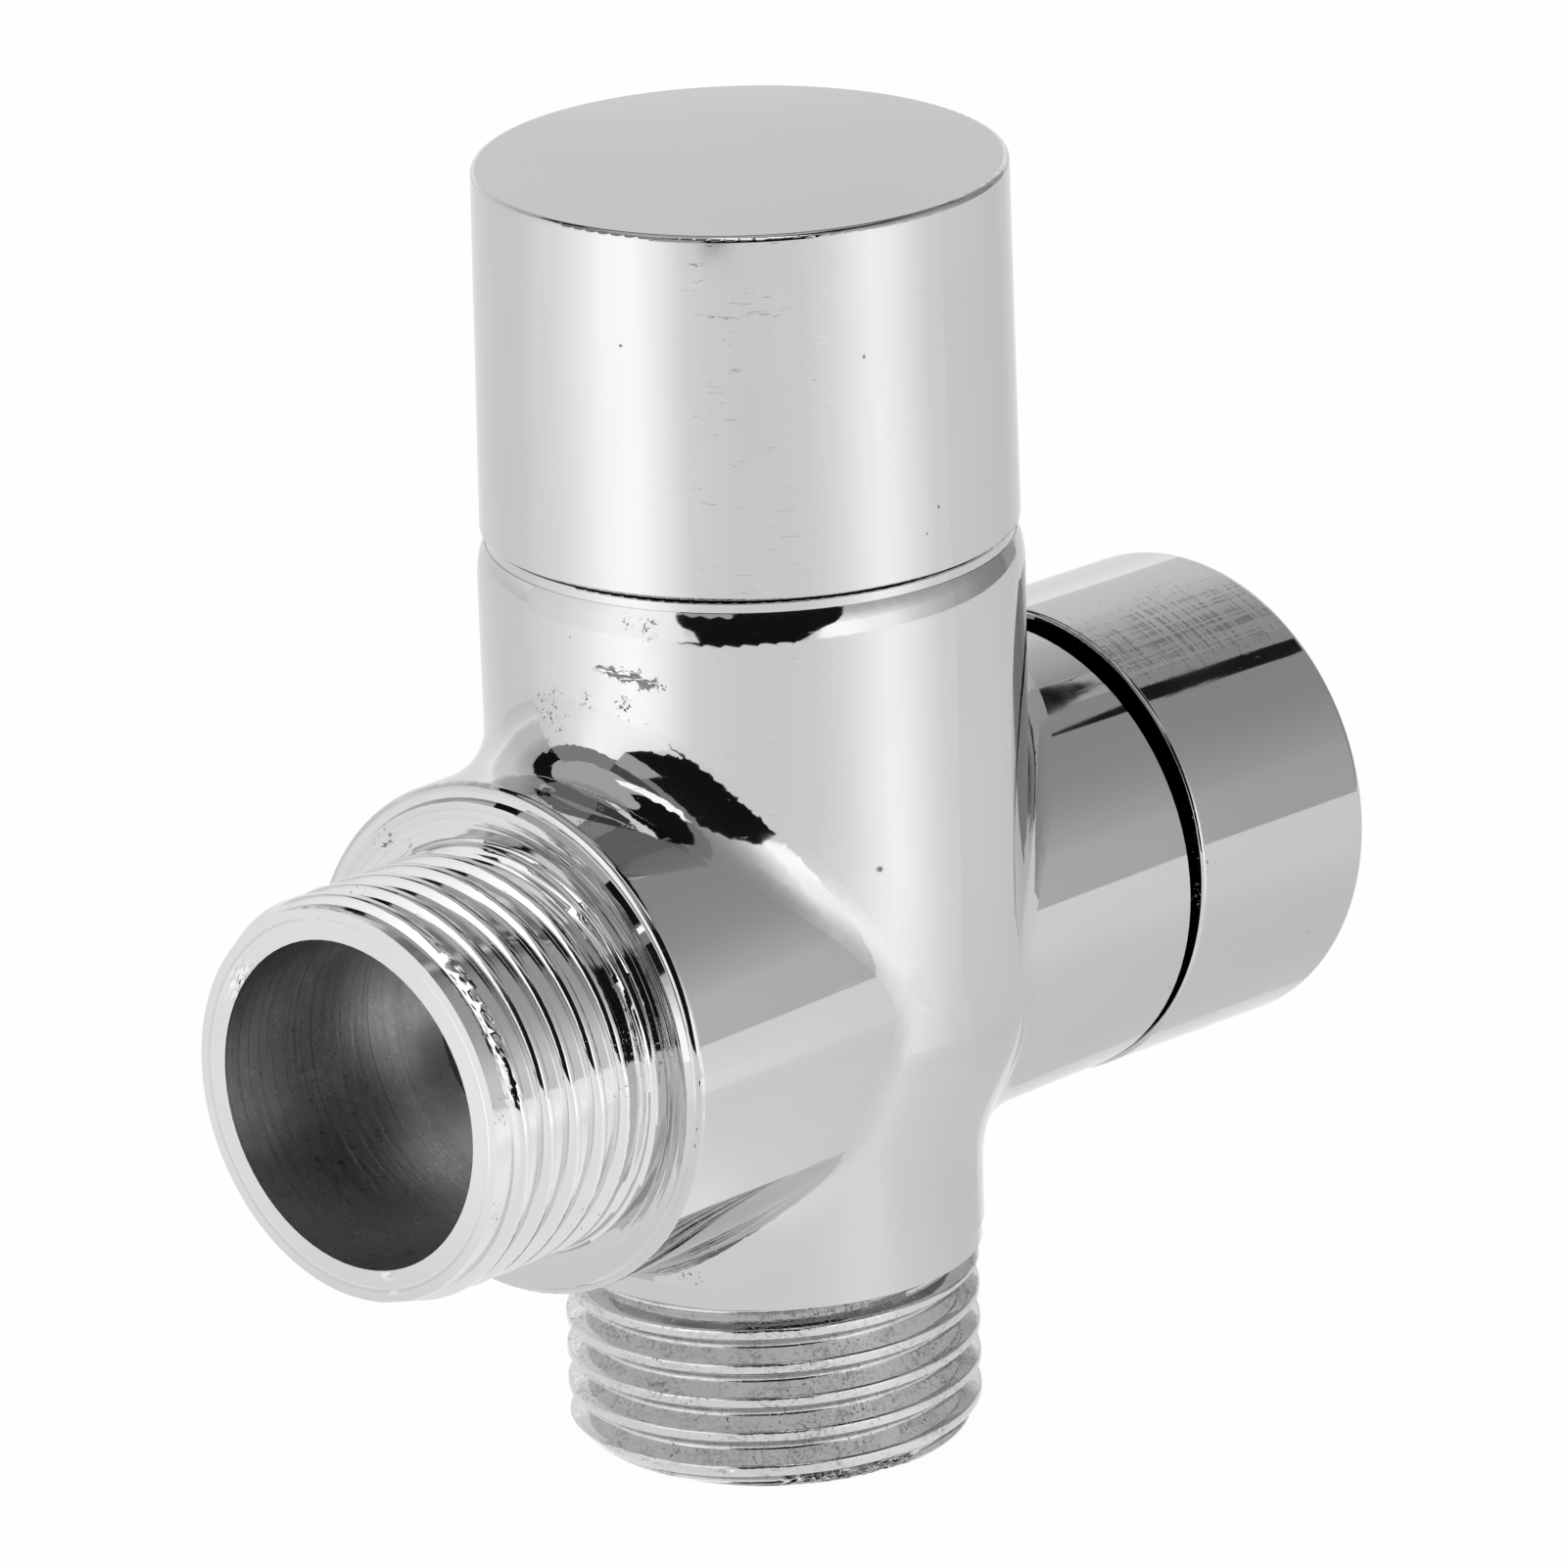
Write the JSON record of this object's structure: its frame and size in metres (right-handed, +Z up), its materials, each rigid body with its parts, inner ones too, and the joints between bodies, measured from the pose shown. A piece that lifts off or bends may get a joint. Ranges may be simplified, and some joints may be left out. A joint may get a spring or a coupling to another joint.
{
  "type": "shower diverter valve",
  "caption": "Cross-shaped plated shower diverter valve: cylindrical knob on a barrel, male pipe outlets at the front and below, loose swivel inlet collar at the rear.",
  "frame": {"origin": "centre of the bottom outlet's end face", "axes": "+Z up along the knob and the bottom outlet, -Y out of the front outlet, +Y out of the rear inlet, +X across the run"},
  "size_m": [0.0274, 0.0627, 0.0664],
  "materials": {
    "chrome_plate": "polished chrome plate",
    "brass": "machined",
    "white_plastic": "moulded",
    "black_rubber": "satin",
    "disc_ceramic": "lapped",
    "spring_steel": "satin"
  },
  "bodies": {
    "body": {"valve_body": "chrome_plate", "spacer_ring": "chrome_plate", "bonnet_nut": "brass", "cartridge_housing": "white_plastic", "housing_o_ring": "black_rubber", "seat_seal": "black_rubber", "fixed_disc": "disc_ceramic", "thrust_washer": "white_plastic", "collar_retaining_ring": "spring_steel", "inlet_washer": "black_rubber", "inlet_screen": "spring_steel"},
    "knob_group": {"knob": "chrome_plate", "knob_insert": "white_plastic", "knob_set_screw": "spring_steel", "stem": "brass", "stem_clip": "spring_steel", "stem_o_ring_lower": "black_rubber", "stem_o_ring_upper": "black_rubber", "disc_driver": "white_plastic", "moving_disc": "disc_ceramic"},
    "collar": {"swivel_collar": "chrome_plate"}
  },
  "joints": [
    {"name": "knob_turn", "type": "hinge", "parent": "body", "child": "knob_group", "pos_m": [0, 0, 0.0479], "axis": [0, 0, 1], "range_deg": [0, 180]},
    {"name": "collar_spin", "type": "hinge", "parent": "body", "child": "collar", "pos_m": [0, 0.02075, 0.02562], "axis": [0, 0.9996, -0.0279], "continuous": true}
  ]
}
